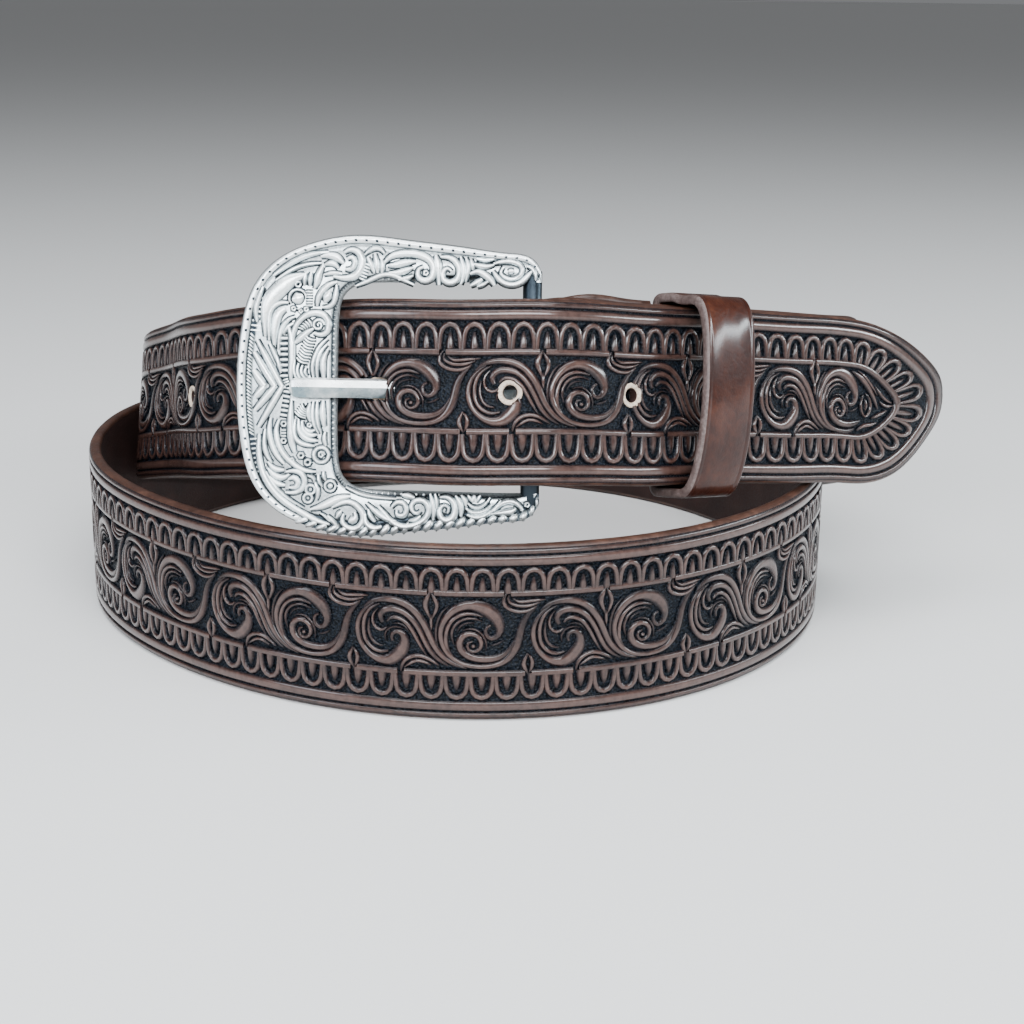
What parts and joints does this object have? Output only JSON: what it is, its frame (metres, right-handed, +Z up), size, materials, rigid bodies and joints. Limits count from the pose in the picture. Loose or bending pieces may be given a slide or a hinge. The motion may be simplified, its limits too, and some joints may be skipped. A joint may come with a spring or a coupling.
{
  "type": "western belt",
  "caption": "Tooled leather strap, buckled and doubled into two turns that stand on edge, with a cast metal buckle, a prong and a keeper loop.",
  "frame": {"origin": "middle of the belt's base, on the surface that it stands on", "axes": "+Z up, +X to the right as seen from the buckle's front, -Y out of the buckle's front"},
  "size_m": [0.2106, 0.1998, 0.0978],
  "materials": {
    "tooled_leather": "carved leather, red-brown high spots over a near-black antiqued ground, satin",
    "keeper_leather": "smooth red-brown leather, polished",
    "cast_metal": "bright silver colour with dark antiquing in the recesses",
    "fastener_metal": "plain nickel colour"
  },
  "bodies": {
    "root": {"strap": "tooled_leather", "buckle_frame": "cast_metal", "prong": "cast_metal", "keeper": "keeper_leather", "fastener_near_bar": "fastener_metal", "fastener_near_keeper": "fastener_metal"}
  },
  "joints": []
}
